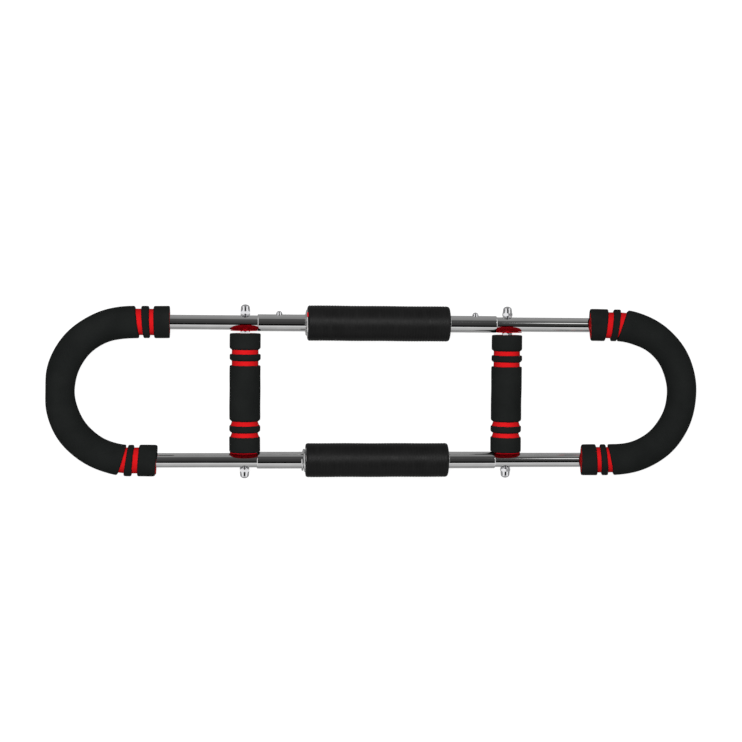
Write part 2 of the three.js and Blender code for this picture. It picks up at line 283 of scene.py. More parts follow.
def ring_profile(start, end, bore, radius, bore_rounding, rounding, steps=4):
    """A plain tube, ring or washer."""
    first = [(start, bore, bore_rounding), (start, radius, rounding)]
    last = [(end, radius, rounding), (end, bore, bore_rounding)]
    return rounded(first + last, steps)


def dome(tip, height, radius, steps, sign=1):
    """Profile points of a dome along a line, from its widest circle to its tip."""
    angles = [math.pi / 2 * i / steps for i in range(steps + 1)]
    return [(tip - sign * height * (1 - math.sin(a)), radius * math.cos(a), 0) for a in angles]


def cut_holes(obj, holes):
    """Drills round holes along Y: each is (centre, radius, length)."""
    for centre, radius, length in holes:
        bpy.ops.mesh.primitive_cylinder_add(
            radius=radius, depth=length, vertices=48, location=centre, rotation=(math.pi / 2, 0, 0)
        )
        drill = bpy.context.object
        modifier = obj.modifiers.new("hole", "BOOLEAN")
        modifier.operation = "DIFFERENCE"
        modifier.object = drill
        modifier.solver = "EXACT"
        bpy.context.view_layer.objects.active = obj
        bpy.ops.object.modifier_apply(modifier=modifier.name)
        bpy.data.objects.remove(drill)
    obj.data.set_sharp_from_angle(angle=math.radians(SHARP_DEGREES))
    return obj


# ---- Materials ----


class Shader:
    """One Principled material, with short calls for adding and joining nodes."""

    def __init__(self, name):
        self.material = bpy.data.materials.new(name)
        self.material.use_nodes = True
        self.tree = self.material.node_tree
        self.surface = self.tree.nodes["Principled BSDF"]
        self.place = self.add("ShaderNodeTexCoord").outputs["Object"]

    def add(self, kind, settings=None, **inputs):
        node = self.tree.nodes.new(kind)
        for key, value in (settings or {}).items():
            setattr(node, key, value)
        for key, value in inputs.items():
            self.set(node.inputs[key.replace("_", " ")], value)
        return node

    def set(self, socket, value):
        if isinstance(value, bpy.types.NodeSocket):
            self.tree.links.new(value, socket)
        else:
            socket.default_value = value

    def stretched(self, scale):
        return self.add("ShaderNodeMapping", Vector=self.place, Scale=scale).outputs["Vector"]

    def noise(self, scale, detail=4.0, roughness=0.55, vector=None):
        settings = {"Scale": scale, "Detail": detail, "Roughness": roughness}
        return self.add("ShaderNodeTexNoise", Vector=vector or self.place, **settings).outputs["Fac"]

    def between(self, fac, low, high, from_low=0.3, from_high=0.7):
        ends = {"From_Min": from_low, "From_Max": from_high, "To_Min": low, "To_Max": high}
        return self.add("ShaderNodeMapRange", Value=fac, **ends).outputs["Result"]

    def math(self, operation, first, second=0.0):
        node = self.add("ShaderNodeMath", {"operation": operation})
        self.set(node.inputs[0], first)
        self.set(node.inputs[1], second)
        return node.outputs[0]

    def mix(self, fac, first, second):
        node = self.add("ShaderNodeMix", {"data_type": "RGBA"})
        self.set(node.inputs[0], fac)
        self.set(node.inputs[6], first)
        self.set(node.inputs[7], second)
        return node.outputs[2]

    def bump(self, height, strength, distance, after=None):
        node = self.add("ShaderNodeBump", Height=height, Strength=strength, Distance=distance)
        if after is not None:
            self.set(node.inputs["Normal"], after)
        return node.outputs["Normal"]

    def finish(self, **inputs):
        for key, value in inputs.items():
            self.set(self.surface.inputs[key.replace("_", " ")], value)
        return self.material


def grey(value, blue=1.0):
    return (value, value, value * blue, 1.0)


def polished_metal(name, light, dark, smooth, worn, grain):
    """Plated metal: a slow change of tone, fine drawn lines along the grain, and faint dull patches."""
    s = Shader(name)
    lines = s.noise(1.0, detail=3.0, vector=s.stretched(grain))
    patches = s.noise(38.0, detail=5.0)
    haze = s.noise(230.0, detail=2.0)
    colour = s.mix(s.between(patches, 0, 1), dark, light)
    rough = s.between(patches, smooth, worn, 0.35, 0.75)
    rough_lines = s.between(lines, 0.0, 0.03, 0.45, 0.8)
    total = s.math("ADD", rough, rough_lines)
    normal = s.bump(haze, 0.05, 0.0001, after=s.bump(lines, 0.06, 0.0001))
    return s.finish(Base_Color=colour, Metallic=1.0, Roughness=total, Normal=normal)


def foam(name, dark, light, roughness):
    """Closed-cell foam: small pores over a soft uneven skin, with a little dust in the tone."""
    s = Shader(name)
    pores = s.add("ShaderNodeTexVoronoi", Vector=s.place, Scale=1100.0).outputs["Distance"]
    grain = s.noise(520.0, detail=6.0, roughness=0.65)
    broad = s.noise(26.0, detail=3.0)
    tone = s.mix(s.between(broad, 0, 1), dark, light)
    speckled = s.mix(s.between(grain, 0.0, 0.35, 0.5, 0.8), tone, light)
    rough = s.between(grain, roughness - 0.08, roughness + 0.06)
    uneven = s.bump(grain, 0.3, 0.0003, after=s.bump(broad, 0.2, 0.001))
    normal = s.bump(pores, 0.35, 0.0003, after=uneven)
    return s.finish(Base_Color=speckled, Roughness=rough, Normal=normal, Specular_IOR_Level=0.08)


def sleeve_rubber(name):
    """Smooth black sleeve: slightly shiny, with rubbed paler streaks round it."""
    s = Shader(name)
    rubbed = s.noise(1.0, detail=4.0, vector=s.stretched((160.0, 30.0, 30.0)))
    grain = s.noise(700.0, detail=4.0)
    broad = s.noise(22.0, detail=3.0)
    tone = s.mix(s.between(broad, 0, 1), grey(0.004), grey(0.006))
    streaked = s.mix(s.between(rubbed, 0.0, 0.5, 0.5, 0.85), tone, grey(0.010))
    rough = s.between(rubbed, 0.40, 0.52)
    normal = s.bump(grain, 0.12, 0.0002, after=s.bump(rubbed, 0.1, 0.0004))
    return s.finish(Base_Color=streaked, Roughness=rough, Normal=normal, Specular_IOR_Level=0.13)


def nylon(name):
    s = Shader(name)
    cloud = s.noise(120.0, detail=4.0)
    colour = s.mix(s.between(cloud, 0, 1), (0.62, 0.58, 0.48, 1), (0.72, 0.69, 0.60, 1))
    normal = s.bump(s.noise(900.0), 0.1, 0.0002)
    rough = s.between(cloud, 0.42, 0.56)
    return s.finish(Base_Color=colour, Roughness=rough, Normal=normal, Subsurface_Weight=0.08)


# How closely a metal's fine lines are packed along each axis: they run where the number is small.
ALONG_X = (18.0, 2600.0, 2600.0)
ALONG_Y = (2600.0, 18.0, 2600.0)
ALL_WAYS = (900.0, 900.0, 900.0)
CHROME = polished_metal("chrome_plate", grey(0.86, 0.995), grey(0.78, 1.0), 0.02, 0.07, ALONG_X)
ZINC = polished_metal("bright_zinc", grey(0.88, 1.02), grey(0.74, 1.02), 0.10, 0.22, ALONG_Y)
SPRING_STEEL = polished_metal("nickel_wire", grey(0.92), grey(0.78), 0.10, 0.20, ALL_WAYS)
BLACK_FOAM = foam("black_foam_skin", (0.0135, 0.0150, 0.0145, 1), (0.0190, 0.0208, 0.0200, 1), 0.84)
RED_FOAM = foam("red_foam_core", (0.86, 0.011, 0.015, 1), (0.96, 0.016, 0.020, 1), 0.78)
# A darker copy of the red foam, as painted shade: the discs and the shim are the same red foam, darkened for
# the shade they lie in
SHADED_RED_FOAM = foam("red_foam_painted_shade", (0.50, 0.003, 0.010, 1), (0.60, 0.005, 0.013, 1), 0.78)
SLEEVE = sleeve_rubber("black_sleeve_rubber")
NYLON = nylon("ivory_nylon")

# ---- Placing pieces ----


def piece(name, shape, material, body, replaces=(), sharp_degrees=SHARP_DEGREES):
    obj = add_object(name, *shape, material, sharp_degrees)
    if replaces:
        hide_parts(*replaces)
    if body:
        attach(obj, body)
    return obj


def chrome_piece(name, shape, body, node):
    return piece(name, shape, CHROME, body, [node])


def zinc_piece(name, shape, body, node, sharp_degrees=SHARP_DEGREES):
    return piece(name, shape, ZINC, body, [node], sharp_degrees)


# ---- Chrome tubes ----


def u_tube(side):
    """The bent tube, with holes for the stud through both legs and one for the button in the back leg."""
    profile = ring_profile(0, U_LENGTH, TUBE_BORE, TUBE_RADIUS, 0.0004, 0.0004, steps=2)
    shape = turned(u_line(side), with_steps(profile, longest=0.004), sides=64)
    obj = chrome_piece(f"{side}_u_tube_chrome", shape, f"{side}_frame", f"{side}_u_tube")
    stud_x, button_x = SIDES[side] * STUD_AT[side], SIDES[side] * BUTTON_AT
    holes = []
    for rod_side in RODS.values():
        centre = (stud_x, rod_side * HALF_SPACING, AXIS_HEIGHT)
        holes.append((centre, STUD_RADIUS + HOLE_CLEARANCE, 3 * TUBE_RADIUS))
    centre = (button_x, HALF_SPACING + TUBE_RADIUS, AXIS_HEIGHT)
    holes.append((centre, BUTTON_RADIUS + HOLE_CLEARANCE, TUBE_RADIUS))
    return cut_holes(obj, holes)


RING_AT = (0.1010, 0.1024)  # the low ring by the sleeve, from and to along X
RING_HEIGHT = 0.0004
HUB_TAPER = 0.003
FLAT_MARGIN = 0.001  # points this near an edge keep the shading of the long face beyond them straight


def socket(side, rod):
    """The tube that the leg plugs into: a rounded mouth, a low ring by the sleeve, and the spring's hub."""
    sign = SIDES[side]
    ring_from, ring_to = RING_AT
    corners = [
        (SOCKET_INNER_END, SOCKET_BORE, 0.0003),
        (SOCKET_INNER_END, HUB_RADIUS, 0.0008),
        (SOCKET_INNER_END + HUB_LENGTH - HUB_TAPER, HUB_RADIUS, 0.001),
        (SOCKET_INNER_END + HUB_LENGTH, SOCKET_RADIUS, 0.001),
        (ring_from - FLAT_MARGIN, SOCKET_RADIUS),
        (ring_from, SOCKET_RADIUS),
        (ring_from, SOCKET_RADIUS + RING_HEIGHT, 0.0003),
        (ring_to, SOCKET_RADIUS + RING_HEIGHT, 0.0003),
        (ring_to, SOCKET_RADIUS),
        (ring_to + FLAT_MARGIN, SOCKET_RADIUS),
        (SOCKET_MOUTH - 2 * FLAT_MARGIN, SOCKET_RADIUS),
        (SOCKET_MOUTH, SOCKET_RADIUS, 0.0012),
        (SOCKET_MOUTH, SOCKET_BORE, 0.0002),
    ]
    profile = [(sign * d, r, t) for d, r, t in with_steps(rounded(corners), longest=0.02)]
    node = f"{side}_{rod}_socket"
    obj = chrome_piece(f"{node}_chrome", turned(rod_line(rod), profile, sides=72), f"{side}_frame", node)
    if rod == "front":
        return obj
    centre = (sign * BUTTON_AT, HALF_SPACING + SOCKET_RADIUS, AXIS_HEIGHT)
    return cut_holes(obj, [(centre, BUTTON_RADIUS + HOLE_CLEARANCE, SOCKET_RADIUS)])


# ---- Foam grips ----

FOAM_WAVE = 0.00016
EDGE_ROUNDING = 0.0017
FOOT_ROUNDING = 0.0003
SKIN_OVERLAP = 0.0004  # how far the skin reaches into the red foam
SKIN_THICKNESS = 0.001  # over an end face
FACE_SLOPE = 0.0005
PLAIN_MARGIN = 0.03  # a long stretch has no lean this far from its edges


def foam_unevenness(seed):
    """Moulded foam is never quite round: a slow change of radius of a few tenths of a millimetre."""

    def swell(distance, angle, radius):
        wave = math.sin(distance * 61 + seed) * math.cos(2 * angle + seed)
        wave += 0.6 * math.sin(distance * 143 + 2 * seed + angle)
        return radius + FOAM_WAVE * wave

    return swell


def groove_edge(place, lean, length, depth):
    """One side of a raised stretch, towards a groove: a chamfer of this length and depth."""
    return {"place": place, "lean": lean, "length": length, "depth": depth}


def end_edge(place, lean, rounding, rim):
    """One side of a raised stretch, at the grip's end: the skin turns in over the end face by the rim."""
    return {"place": place, "lean": lean, "rounding": rounding, "rim": rim}


def edge_corners(edge, inward):
    """Corners from the inside of the skin to its outer surface. Inward is the way into the stretch."""
    place, lean = edge["place"], edge["lean"]
    hidden = GROOVE_RADIUS - SKIN_OVERLAP
    if "rounding" in edge:
        face, behind = GRIP_RADIUS - edge["rim"], place + inward * SKIN_THICKNESS
        corners = [(behind, hidden, 0, lean), (behind, face, 0, lean), (place, face, FOOT_ROUNDING, lean)]
        return corners + [(place, GRIP_RADIUS, edge["rounding"], lean)]
    foot = max(GRIP_RADIUS - edge["depth"], GROOVE_RADIUS)
    corners = [(place, hidden, 0, lean), (place, foot, FOOT_ROUNDING, lean)]
    return corners + [(place + inward * edge["length"], GRIP_RADIUS, EDGE_ROUNDING, lean)]


def black_section(first, last):
    """The closed profile of one raised black stretch, between two edges."""
    start, end = edge_corners(first, 1), edge_corners(last, -1)
    plain_from, plain_to = first["place"] + PLAIN_MARGIN, last["place"] - PLAIN_MARGIN
    if plain_to < plain_from:
        return rounded(start + end[::-1])
    outside = [(plain_from, GRIP_RADIUS, 0, 0), (plain_to, GRIP_RADIUS, 0, 0)]
    inside = [(place, GROOVE_RADIUS - SKIN_OVERLAP, 0, 0) for place in (plain_to, plain_from)]
    return rounded(start + outside + end[::-1] + inside)


def foam_core(line, start, end, rim, grooves=(), sides=64, swell=None, slant=None, step=0.003):
    """The red foam under the skin. Its end faces bulge a little, and each groove's floor is a cone.

    Each groove is (from, to, radius at the first end, radius at the second end).
    """
    face = GRIP_RADIUS - rim
    face_rounding, bore_rounding = 0.0002, 0.0004
    behind = SKIN_THICKNESS + 0.0002
    corners = [(start, GRIP_BORE, bore_rounding), (start + FACE_SLOPE, face, face_rounding)]
    corners += [(start + behind, face), (start + behind, GROOVE_RADIUS)]
    for groove_from, groove_to, first, second in grooves:
        corners += [(groove_from - SKIN_OVERLAP, GROOVE_RADIUS), (groove_from - SKIN_OVERLAP, first)]
        corners += [(groove_to + SKIN_OVERLAP, second), (groove_to + SKIN_OVERLAP, GROOVE_RADIUS)]
    corners += [(end - behind, GROOVE_RADIUS), (end - behind, face)]
    corners += [(end - FACE_SLOPE, face, face_rounding), (end, GRIP_BORE, bore_rounding)]
    return turned(line, with_steps(rounded(corners), step), sides, swell, slant)


def grip_pieces(name, body, edges, core, line, step, sides, swell, slant=None):
    """A grip's black skin, in a raised stretch between each two edges, and its red core. The skin stands
    for the CAD node of this name."""
    sections = []
    for first, last in zip(edges[::2], edges[1::2]):
        profile = with_steps(black_section(first, last), step)
        sections.append(turned(line, profile, sides, swell, slant))
    skin_shape = joined(sections)
    black = piece(f"{name}_skin", skin_shape, BLACK_FOAM, body, [name], FOAM_SHARP_DEGREES)
    red = piece(f"{name}_core", core, RED_FOAM, body, (), FOAM_SHARP_DEGREES)


HAND_GRIP_PARTS = (22.9, 5.9, 9.7, 6.1, 77.9, 5.9, 10.0, 5.8, 21.1)  # collar, groove, ring and so on
HAND_END_ROUNDING = 0.002
SMALL_EDGE = (0.0007, 0.0007)  # length and depth of the edges that face the back rod
WIDE_EDGE = (0.0024, 0.0033)
HAND_GROOVE_FLOORS = ((0.0184, 0.0186),) * 2 + ((0.0178, 0.0202),) * 2  # radius at both ends


def hand_grip(side):
    """The cross grip. Its grooves are saw-toothed: steep at the front edge, sloping at the back one."""
    total = HAND_GRIP_BACK - HAND_GRIP_FRONT
    lengths = [part / sum(HAND_GRIP_PARTS) * total for part in HAND_GRIP_PARTS]
    places = np.concatenate(([0.0], np.cumsum(lengths)))
    along_stud = stud_line(side)

    def from_back(distance):
        return along_stud(HAND_GRIP_BACK - distance)

    swell = foam_unevenness(SIDES[side] * 1.7)
    edges = [end_edge(0.0, 0, HAND_END_ROUNDING, HAND_RIM)]
    for i in range(1, len(lengths), 2):
        edges.append(groove_edge(places[i], 0, *WIDE_EDGE))
        edges.append(groove_edge(places[i + 1], 0, *SMALL_EDGE))
    edges.append(end_edge(total, 0, HAND_END_ROUNDING, HAND_RIM))
    grooves = [(places[2 * i + 1], places[2 * i + 2], *floor) for i, floor in enumerate(HAND_GROOVE_FLOORS)]
    core = foam_core(from_back, 0.0, total, HAND_RIM, grooves, sides=72)
    name = f"{side}_hand_grip"
    grip_pieces(name, name, edges, core, from_back, 0.004, 72, swell)


# Millimetres from a U grip's end, and lean, of the collar's edge, the ring's two edges and the long
# stretch's edge. The foam has been dragged round the bend, so the edges lean, each end by its own amount.
U_GRIP_EDGES = {
    ("left", "back"): ((21.9, 0.02), (27.4, 0.03), (37.8, 0.07), (44.3, 0.13)),
    ("left", "front"): ((25.1, 0.07), (32.0, 0.09), (41.7, 0.10), (46.3, 0.19)),
    ("right", "back"): ((23.8, 0.10), (31.2, 0.10), (41.1, 0.12), (45.1, 0.29)),
    ("right", "front"): ((22.6, 0.07), (28.2, 0.07), (37.5, 0.10), (42.4, 0.21)),
}
U_GRIP_EDGE = (0.0007, 0.0034)  # length and depth
END_LEAN = {("left", "front"): 0.08, ("right", "back"): -0.04}
END_ROUNDING = {
    ("left", "back"): 0.0015,
    ("left", "front"): 0.0045,
    ("right", "back"): 0.003,
    ("right", "front"): 0.003,
}
TOP_LEAD = {"left": 0.0, "right": 0.16}  # how much the top of a grip's end leads its bottom, per radius
LEAD_FADES = (0.05, 0.095)  # from and to, along the line from the grip's end


class Swelling:
    """The foam stands out, or lies flat where negative, round one place on the bend.

    The place along the line and the spread are in metres. How far the foam moves, on the outside and on
    the inside of the bend, is in millimetres.
    """

    def __init__(self, place, spread, outside, inside):
        self.place, self.spread = place, spread
        self.outside, self.inside = 0.001 * outside, 0.001 * inside

    def at(self, distance, outwards):
        most = self.outside if outwards > 0 else self.inside
        return most * abs(outwards) * math.exp(-(((distance - self.place) / self.spread) ** 2))


def grip_swellings(side, start, end):
    """How the foam is bunched and stretched by the bend, differently on the two sides."""
    apex = U_LENGTH / 2
    if side == "left":
        return [
            Swelling(start, 0.050, 0.7, 1.0),
            Swelling(start + 0.068, 0.028, 0, 1.5),
            Swelling(apex - 0.058, 0.033, 0.9, -0.4),
            Swelling(apex, 0.018, -2.1, -0.5),
            Swelling(apex, 0.090, 0, -0.8),
            Swelling(apex + 0.060, 0.035, 1.5, 0),
            Swelling(end, 0.050, 0.9, 0.1),
        ]
    return [
        Swelling(start, 0.050, 1.6, 1.1),
        Swelling(start + 0.075, 0.030, 0, 1.8),
        Swelling(apex, 0.062, -1.9, 0.4),
        Swelling(end - 0.070, 0.030, -0.4, 1.0),
        Swelling(end, 0.050, 0.5, 0.6),
    ]


def grip_end(side, rod):
    """How far along X a U grip's end lies on one leg, from the frame's mesh."""
    mesh = frame["nodes"][f"{side}_u_grip"].data
    return min(abs(v.co.x) for v in mesh.vertices if RODS[rod] * v.co.y > HALF_SPACING / 2)


def u_grip(side):
    """The grip round the bend, with its grooves pulled aslant and its thickness uneven."""
    start = grip_end(side, "back") - LEG_INNER_END
    end = U_LENGTH - (grip_end(side, "front") - LEG_INNER_END)
    line = u_line(side)
    uneven = foam_unevenness(SIDES[side] * 0.8 + 2)
    swellings = grip_swellings(side, start, end)

    def swell(distance, angle, radius):
        extra = sum(swelling.at(distance, math.cos(angle)) for swelling in swellings)
        above_tube = max(0.0, radius - TUBE_RADIUS)
        return uneven(distance, angle, radius) + extra * above_tube / (GRIP_RADIUS - TUBE_RADIUS)

    def slant(distance, angle, radius):
        from_back, from_front = distance - start, end - distance
        near = min(from_back, from_front)
        weight = min(max((LEAD_FADES[1] - near) / (LEAD_FADES[1] - LEAD_FADES[0]), 0.0), 1.0)
        outwards = -1 if from_back < from_front else 1
        return outwards * TOP_LEAD[side] * weight * radius * math.sin(angle)

    # Edges in order along the line: the back end's inwards, then the front end's in reverse.
    edges = []
    for rod, place, sign in (("back", start, 1), ("front", end, -1)):
        inwards = [end_edge(place, sign * END_LEAN.get((side, rod), 0), END_ROUNDING[side, rod], U_RIM)]
        for millimetres, lean in U_GRIP_EDGES[side, rod]:
            inwards.append(groove_edge(place + sign * 0.001 * millimetres, sign * lean, *U_GRIP_EDGE))
        edges += inwards[::sign]
    core = foam_core(line, start, end, U_RIM, swell=swell, slant=slant)
    grip_pieces(f"{side}_u_grip", f"{side}_frame", edges, core, line, 0.003, 64, swell, slant)


# ---- Springs and sleeves ----

# The turns that close in at each wire's left end: how many, their pitch, and the last one's radius.
END_TURNS = {"back": (1, 0.0013, 0.0157), "front": (3, 0.0036, 0.0132)}
FIRST_COIL_ANGLE = {"back": math.radians(124), "front": math.radians(78)}  # of the wire's left end
MIDDLE_SEGMENT = 5  # of the frame's nine sleeve segments
RIB_HEIGHT, WAVE_HEIGHT = 0.00013, 0.00012
BORE_MARGIN = 0.0001
SPRING_ENDS = {  # of the wire's centre line; the frame's wire reaches past it by about its own radius
    (side, rod): span(f"{rod}_spring", X)[side == "right"] - SIDES[side] * WIRE_RADIUS
    for side in SIDES
    for rod in RODS
}


def wire_point(x, rod):
    """A spring wire's centre at a place along X, and the direction outwards from the rod there."""
    turns, pitch, last_radius = END_TURNS[rod]
    from_end = x - SPRING_ENDS["left", rod]
    closing = min(from_end, turns * pitch)
    radius = last_radius + (COIL_RADIUS - last_radius) * closing / (turns * pitch)
    wound = closing / pitch + (from_end - closing) / COIL_PITCH
    angle = 2 * math.pi * wound + FIRST_COIL_ANGLE[rod]
    outward = np.array((0.0, math.cos(angle), math.sin(angle)))
    centre = np.array((x, RODS[rod] * HALF_SPACING, AXIS_HEIGHT))
    return centre + radius * outward, outward


def wire(rod, start, end, steps_per_turn, sides):
    steps = max(2, round(abs(end - start) / COIL_PITCH * steps_per_turn))
    along_x = np.array((1.0, 0.0, 0.0))
    rings = []
    for x in np.linspace(start, end, steps + 1):
        centre, outward = wire_point(x, rod)
        angles = 2 * np.pi * np.arange(sides) / sides
        around = np.outer(np.cos(angles), outward) + np.outer(np.sin(angles), along_x)
        rings.append(centre + WIRE_RADIUS * around)
    return skin(rings, loop=False)


def sleeve_unevenness(x, angle, rod):
    """A shallow rib over each turn of the spring, and a slow waviness from the mould."""
    rib = RIB_HEIGHT * (math.cos(2 * math.pi * x / COIL_PITCH) - 1)
    wave = WAVE_HEIGHT * math.sin(83 * x + RODS[rod]) * math.cos(angle + 0.5)
    return rib + wave


def sleeve_piece(rod, start, end, round_start=0.0, round_end=0.0):
    """A stretch of sleeve. Rounded ends are the sleeve's own, and square ends meet the next stretch."""
    radius, step, arc_steps = SLEEVE_RADIUS[rod], 0.0005, 6
    bore = radius - SLEEVE_WALL
    outside = [(x, radius) for x in np.arange(start + round_start, end - round_end + step / 2, step)]
    arc = [math.pi / 2 * i / arc_steps for i in range(1, arc_steps + 1)]
    drops = [(1 - math.sin(a), 1 - math.cos(a)) for a in arc]  # from the rounding's foot to its face
    if round_start:
        early = [(start + round_start * u, radius - min(round_start, SLEEVE_WALL) * v) for u, v in drops]
        outside = early[::-1] + outside
    if round_end:
        outside += [(end - round_end * u, radius - min(round_end, SLEEVE_WALL) * v) for u, v in drops]
    profile = [(x, r, 0) for x, r in [*outside, (end, bore), (start, bore)]]

    def swell(distance, angle, reach):
        if reach <= bore + BORE_MARGIN:  # the bore stays smooth
            return reach
        return reach + sleeve_unevenness(distance, angle, rod)

    return turned(rod_line(rod), profile, 72, swell)


def bent_stretches(rod, side):
    """A stretch of sleeve and of coils over each bend line."""
    sign, half_step = SIDES[side], (HINGES[1] - HINGES[0]) / 2
    for i, hinge in enumerate(HINGES):
        near, far = sign * (hinge - half_step), sign * (hinge + half_step)
        low, high = sorted((near, far))
        # The last segment is left to the sleeve's end. The first stretch on the right also stands for the
        # middle segment and the whole spring, which lie on both sides.
        covers, stands_for = [], []
        if i + 1 < len(HINGES):
            covers.append(f"{rod}_sleeve_{MIDDLE_SEGMENT + sign * (i + 1)}")
        if side == "right" and i == 0:
            covers.append(f"{rod}_sleeve_{MIDDLE_SEGMENT}")
            stands_for.append(f"{rod}_spring")
        shape = sleeve_piece(rod, low, high)
        cover = piece(f"{side}_{rod}_sleeve_bend_{i + 1}", shape, SLEEVE, None, covers)
        coils = wire(rod, low, high, steps_per_turn=16, sides=8)
        name = f"{side}_{rod}_coils_bend_{i + 1}"
        inner = piece(name, coils, SPRING_STEEL, None, stands_for)
        for part in (cover, inner):
            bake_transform(part)


def sleeve_and_spring_end(rod, side):
    """The stretch past the last bend line, which rides on the frame."""
    sign = SIDES[side]
    last_bend_end = sign * (HINGES[-1] + (HINGES[1] - HINGES[0]) / 2)
    node = f"{rod}_sleeve_{MIDDLE_SEGMENT + sign * len(HINGES)}"
    low, high = span(node, X)
    if side == "right":
        shape = sleeve_piece(rod, last_bend_end, high, round_end=SLEEVE_ROUNDING)
    else:
        shape = sleeve_piece(rod, low, last_bend_end, round_start=SLEEVE_ROUNDING)
    body = f"{side}_frame"
    piece(f"{side}_{rod}_sleeve_end", shape, SLEEVE, body, [node])
    turns = wire(rod, last_bend_end, SPRING_ENDS[side, rod], steps_per_turn=96, sides=12)
    piece(f"{side}_{rod}_spring_end_wire", turns, SPRING_STEEL, body)


SHIM_GAP = 0.0001
SHIM_FROM, SHIM_ARC = 26, 18  # degrees from straight up, towards the back
SHIM_OUT, SHIM_DEPTH = 0.0016, 0.012  # how far it stands out of the sleeve, and goes in
SHIM_TAPER, SHIM_PINCH = 0.0006, 0.25  # its tip's length, and how much thinner it gets on each face


def red_shim(rod):
    """A strip of red foam pushed in between the coils and the sleeve's left end, on the outer side."""
    end = span(f"{rod}_sleeve_1", X)[0]
    inner, outer = COIL_RADIUS + WIRE_RADIUS + SHIM_GAP, SLEEVE_RADIUS[rod] - SLEEVE_WALL - SHIM_GAP
    tip, thickness, steps = end - SHIM_OUT, outer - inner, 8
    rings = []
    for x, pinch in ((tip, SHIM_PINCH), (tip + SHIM_TAPER, 0.0), (end + SHIM_DEPTH, 0.0)):
        ring = []
        for radius, order in ((inner + pinch * thickness, 1), (outer - pinch * thickness, -1)):
            for step in range(steps + 1)[::order]:
                angle = math.radians(SHIM_FROM + SHIM_ARC * step / steps)
                y, z = math.sin(angle), math.cos(angle)
                ring.append((x, RODS[rod] * HALF_SPACING + radius * y, AXIS_HEIGHT + radius * z))
        rings.append(np.array(ring))
    # The shim's red foam is painted darker, as painted shade in the gap between coils and sleeve
    shim = piece(f"{rod}_sleeve_shim", skin(rings, loop=False), SHADED_RED_FOAM, "left_frame")


# ---- Fasteners, studs and buttons ----

NUT_CHAMFER = 0.0011  # its depth along the nut
NUT_CHAMFER_SLOPE = 0.95
NUT_FACE_MARGIN = 0.00005  # how far the circle at a nut's face lies outside its flats
NUT_COUNTERSINK = (0.0006, 0.0007)  # depth, and extra radius
NUT_SIDES = 96
ACORN_HEX_HEIGHT = 0.0044
ACORN_DOME_RADIUS = 0.0061
ACORN_DOME_HEIGHT = 0.0045


def hexagon(base, top):
    """Swell for a nut: flat sides, with the corners turned down to a small circle at both faces."""

    def swell(distance, angle, radius):
        depth = min(abs(distance - base), abs(top - distance))
        circle = NUT_APOTHEM + NUT_FACE_MARGIN + min(depth, NUT_CHAMFER) * NUT_CHAMFER_SLOPE
        turn = (angle + math.pi / 6) % (math.pi / 3) - math.pi / 6
        return min(NUT_APOTHEM / math.cos(turn), circle, radius)

    return swell


def nut_side(base, top, steps=24):
    """A nut's outside, wider than its corners everywhere, for hexagon to cut down."""
    return [(base + (top - base) * i / steps, 2 * NUT_APOTHEM, 0) for i in range(steps + 1)]


def jam_nut(side, rod):
    """A chamfered hexagon with its thread countersunk at both faces."""
    sign = RODS[rod]
    base, top = sign * JAM_NUT_FROM, sign * JAM_NUT_TO
    bore = STUD_RADIUS + THREAD_CLEARANCE
    depth, wider = NUT_COUNTERSINK
    profile = nut_side(base, top) + [(top, bore + wider, 0), (top - sign * depth, bore, 0)]
    profile += [(base + sign * depth, bore, 0), (base, bore + wider, 0)]
    shape = turned(stud_line(side), profile, NUT_SIDES, hexagon(base, top))
    node = f"{side}_jam_nut_{rod}"
    zinc_piece(f"{node}_hex", shape, f"{side}_frame", node, NUT_SHARP_DEGREES)


def acorn_nut(side, rod):
    """A cap nut: a chamfered hexagon and a tall rounded dome over a blind thread."""
    sign = RODS[rod]
    base, tip = sign * ACORN_FROM, sign * ACORN_TIP
    hex_top = base + sign * ACORN_HEX_HEIGHT
    bore, bore_end = STUD_RADIUS + THREAD_CLEARANCE, tip - sign * ACORN_DOME_HEIGHT
    profile = nut_side(base, hex_top) + dome(tip, ACORN_DOME_HEIGHT, ACORN_DOME_RADIUS, 12, sign)
    profile += [(bore_end, 0, 0), (bore_end, bore, 0), (base, bore, 0)]
    shape = turned(stud_line(side), profile, NUT_SIDES, hexagon(base, hex_top))
    node = f"{side}_acorn_nut_{rod}"
    zinc_piece(f"{node}_cap", shape, f"{side}_frame", node, NUT_SHARP_DEGREES)


WASHER_RADIUS = 0.0066
WASHER_CLEARANCE = 0.0004


def washer(side, rod):
    sign, node = RODS[rod], f"{side}_washer_{rod}"
    bore = STUD_RADIUS + WASHER_CLEARANCE
    profile = ring_profile(sign * WASHER_FROM, sign * WASHER_TO, bore, WASHER_RADIUS, 0.0002, 0.0003)
    zinc_piece(f"{node}_plate", turned(stud_line(side), profile, 64), f"{side}_frame", node)


DISC_ROUNDING = 0.0003
DISC_WAVE = 0.00012


